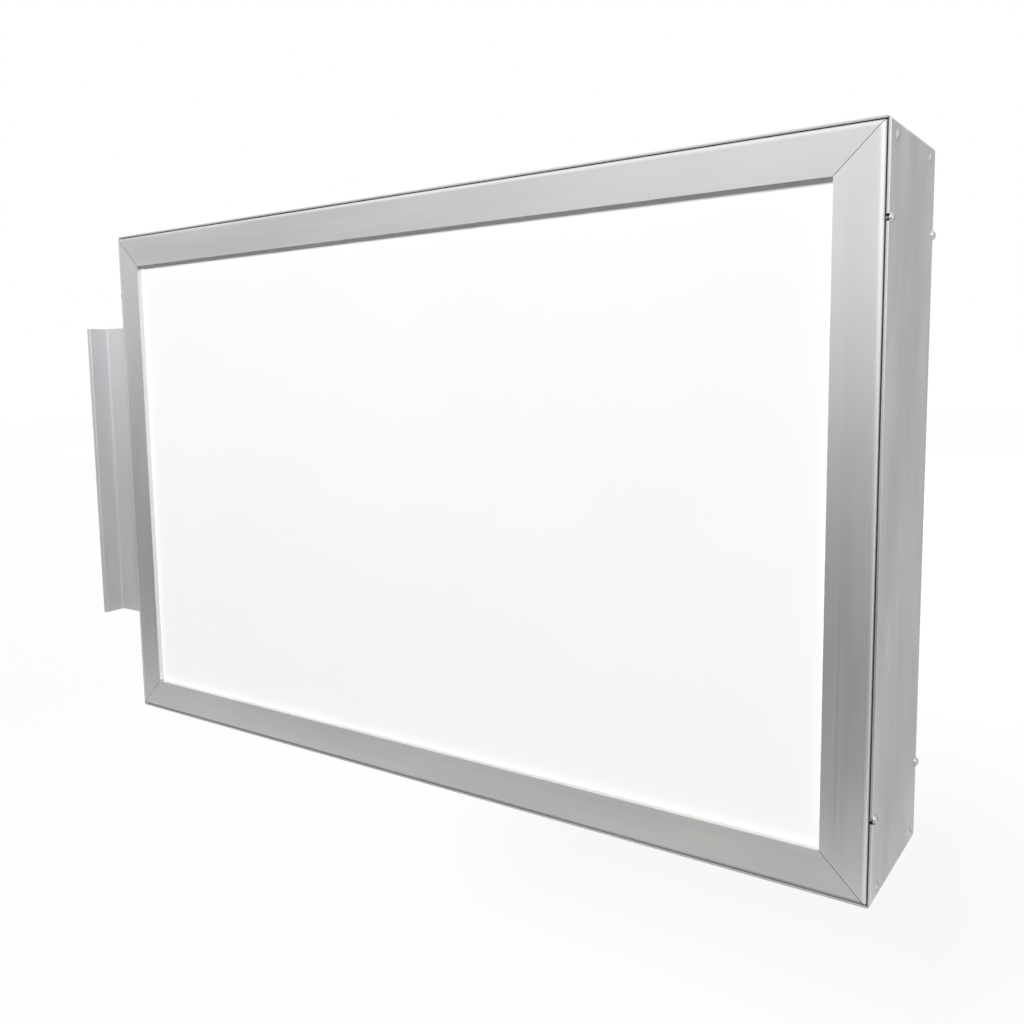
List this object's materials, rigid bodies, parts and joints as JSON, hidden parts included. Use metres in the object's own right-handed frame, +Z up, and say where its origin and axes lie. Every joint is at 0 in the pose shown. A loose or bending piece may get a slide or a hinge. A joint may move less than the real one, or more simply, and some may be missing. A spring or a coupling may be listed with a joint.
{
  "type": "projecting light box",
  "caption": "Double-sided LED light box with a mitred aluminium casing, lift-out opal panel frames and a hollow bracket that holds it edge-on to a wall.",
  "frame": {"origin": "centre of the bracket's wall face, in the plane of the wall", "axes": "+X away from the wall along the box, +Y from the front panel to the rear panel, +Z up"},
  "size_m": [0.667, 0.104, 0.4022],
  "materials": {
    "casing_aluminium": "satin natural anodised, drawn lengthwise",
    "frame_aluminium": "satin natural anodised, drawn lengthwise",
    "bracket_aluminium": "satin natural anodised",
    "opal_acrylic": "opal white, smooth",
    "zinc_steel": "bright zinc plated",
    "rivet_aluminium": "plain",
    "screw_steel": "plain stainless",
    "seal_rubber": "matte black",
    "cap_plastic": "matte black",
    "board_white": "white solder mask",
    "lens_clear": "clear moulded acrylic",
    "chip_phosphor": "yellow phosphor",
    "driver_case": "matte grey",
    "block_nylon": "natural white",
    "brass": "plain",
    "mains_sheath": "brown sleeve",
    "dc_sheath": "red sleeve",
    "earth_sheath": "green-yellow sleeve"
  },
  "bodies": {
    "casing": {"casing_top": "casing_aluminium", "casing_bottom": "casing_aluminium", "casing_left": "casing_aluminium", "casing_right": "casing_aluminium", "wall_bracket": "bracket_aluminium", "front_corner_cleats": "zinc_steel", "rear_corner_cleats": "zinc_steel", "backing_strips": "zinc_steel", "slot_nuts": "zinc_steel", "bracket_bolts": "zinc_steel", "bracket_washers": "zinc_steel", "bracket_nuts": "zinc_steel", "driver_screws": "zinc_steel", "block_screws": "zinc_steel", "earth_stud": "zinc_steel", "earth_nut": "zinc_steel", "corner_rivets": "rivet_aluminium", "front_seal": "seal_rubber", "rear_seal": "seal_rubber", "cable_grommet": "seal_rubber", "bracket_caps": "cap_plastic", "led_board_top": "board_white", "led_board_bottom": "board_white", "led_lenses_top": "lens_clear", "led_lenses_bottom": "lens_clear", "led_chips_top": "chip_phosphor", "led_chips_bottom": "chip_phosphor", "led_driver": "driver_case", "terminal_block": "block_nylon", "clamp_screws": "brass", "earth_tag": "brass", "mains_leads": "mains_sheath", "dc_lead_top": "dc_sheath", "dc_lead_bottom": "dc_sheath", "earth_lead": "earth_sheath"},
    "front_frame": {"front_frame_top": "frame_aluminium", "front_frame_bottom": "frame_aluminium", "front_frame_left": "frame_aluminium", "front_frame_right": "frame_aluminium", "front_corner_keys": "zinc_steel", "front_panel": "opal_acrylic", "front_frame_screws": "screw_steel"},
    "rear_frame": {"rear_frame_top": "frame_aluminium", "rear_frame_bottom": "frame_aluminium", "rear_frame_left": "frame_aluminium", "rear_frame_right": "frame_aluminium", "rear_corner_keys": "zinc_steel", "rear_panel": "opal_acrylic", "rear_frame_screws": "screw_steel"}
  },
  "joints": [
    {"name": "front_frame_slide", "type": "slide", "parent": "casing", "child": "front_frame", "axis": [0, -1, 0], "range_m": [0, 0.06]},
    {"name": "rear_frame_slide", "type": "slide", "parent": "casing", "child": "rear_frame", "axis": [0, 1, 0], "range_m": [0, 0.06]}
  ]
}
